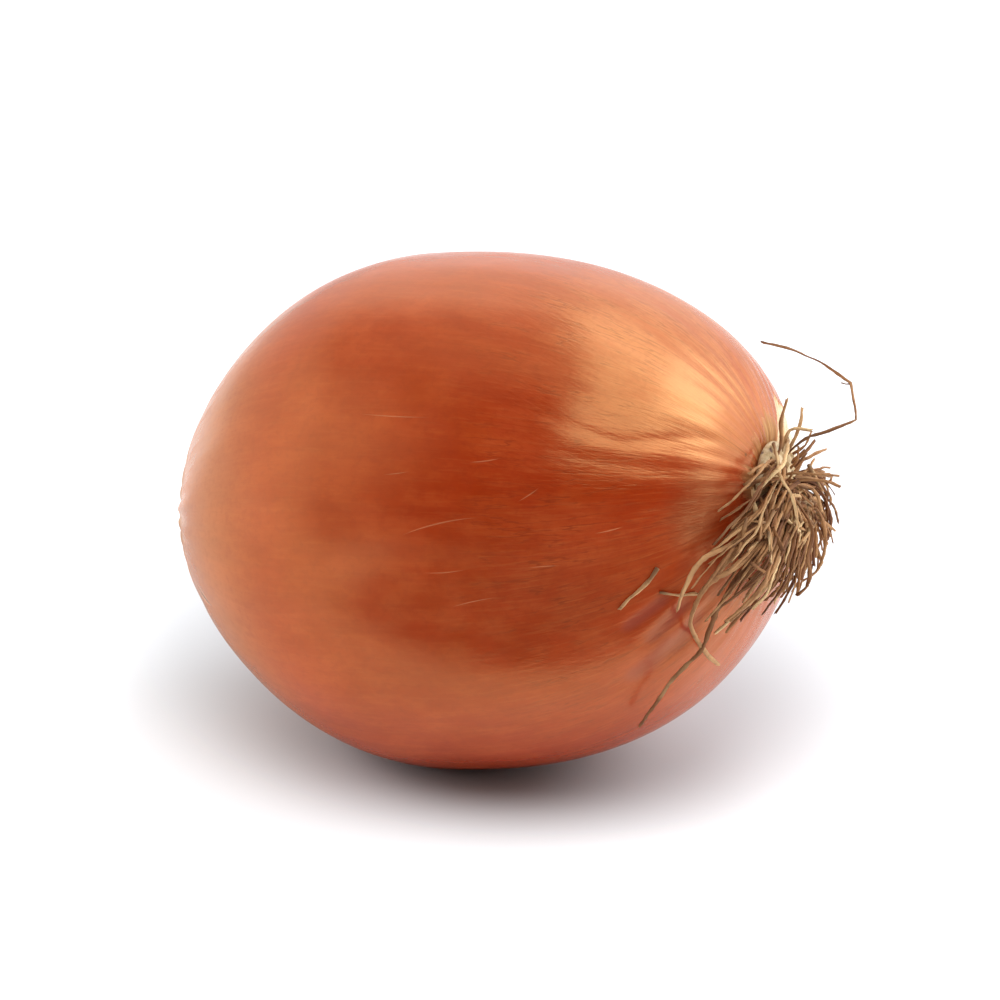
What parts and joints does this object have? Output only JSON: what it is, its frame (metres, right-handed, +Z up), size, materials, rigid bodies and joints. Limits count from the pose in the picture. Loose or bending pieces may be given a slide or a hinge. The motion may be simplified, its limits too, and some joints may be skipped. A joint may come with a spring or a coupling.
{
  "type": "brown onion",
  "caption": "Whole brown onion lying on its side, a long rounded bulb with a folded dried neck and a tuft of dry roots at the root plate.",
  "frame": {"origin": "middle of the small flat on the underside that the bulb rests on", "axes": "+Z up, +X along the bulb towards the root end, which is lifted by 11.5 degrees, +Y to the back, where the neck is folded"},
  "size_m": [0.1075, 0.0734, 0.0753],
  "materials": {
    "skin": "satin papery onion skin",
    "dry_root": "matt dry root fibre"
  },
  "bodies": {
    "root": {"bulb": "skin", "root_tuft": "dry_root"}
  },
  "joints": []
}
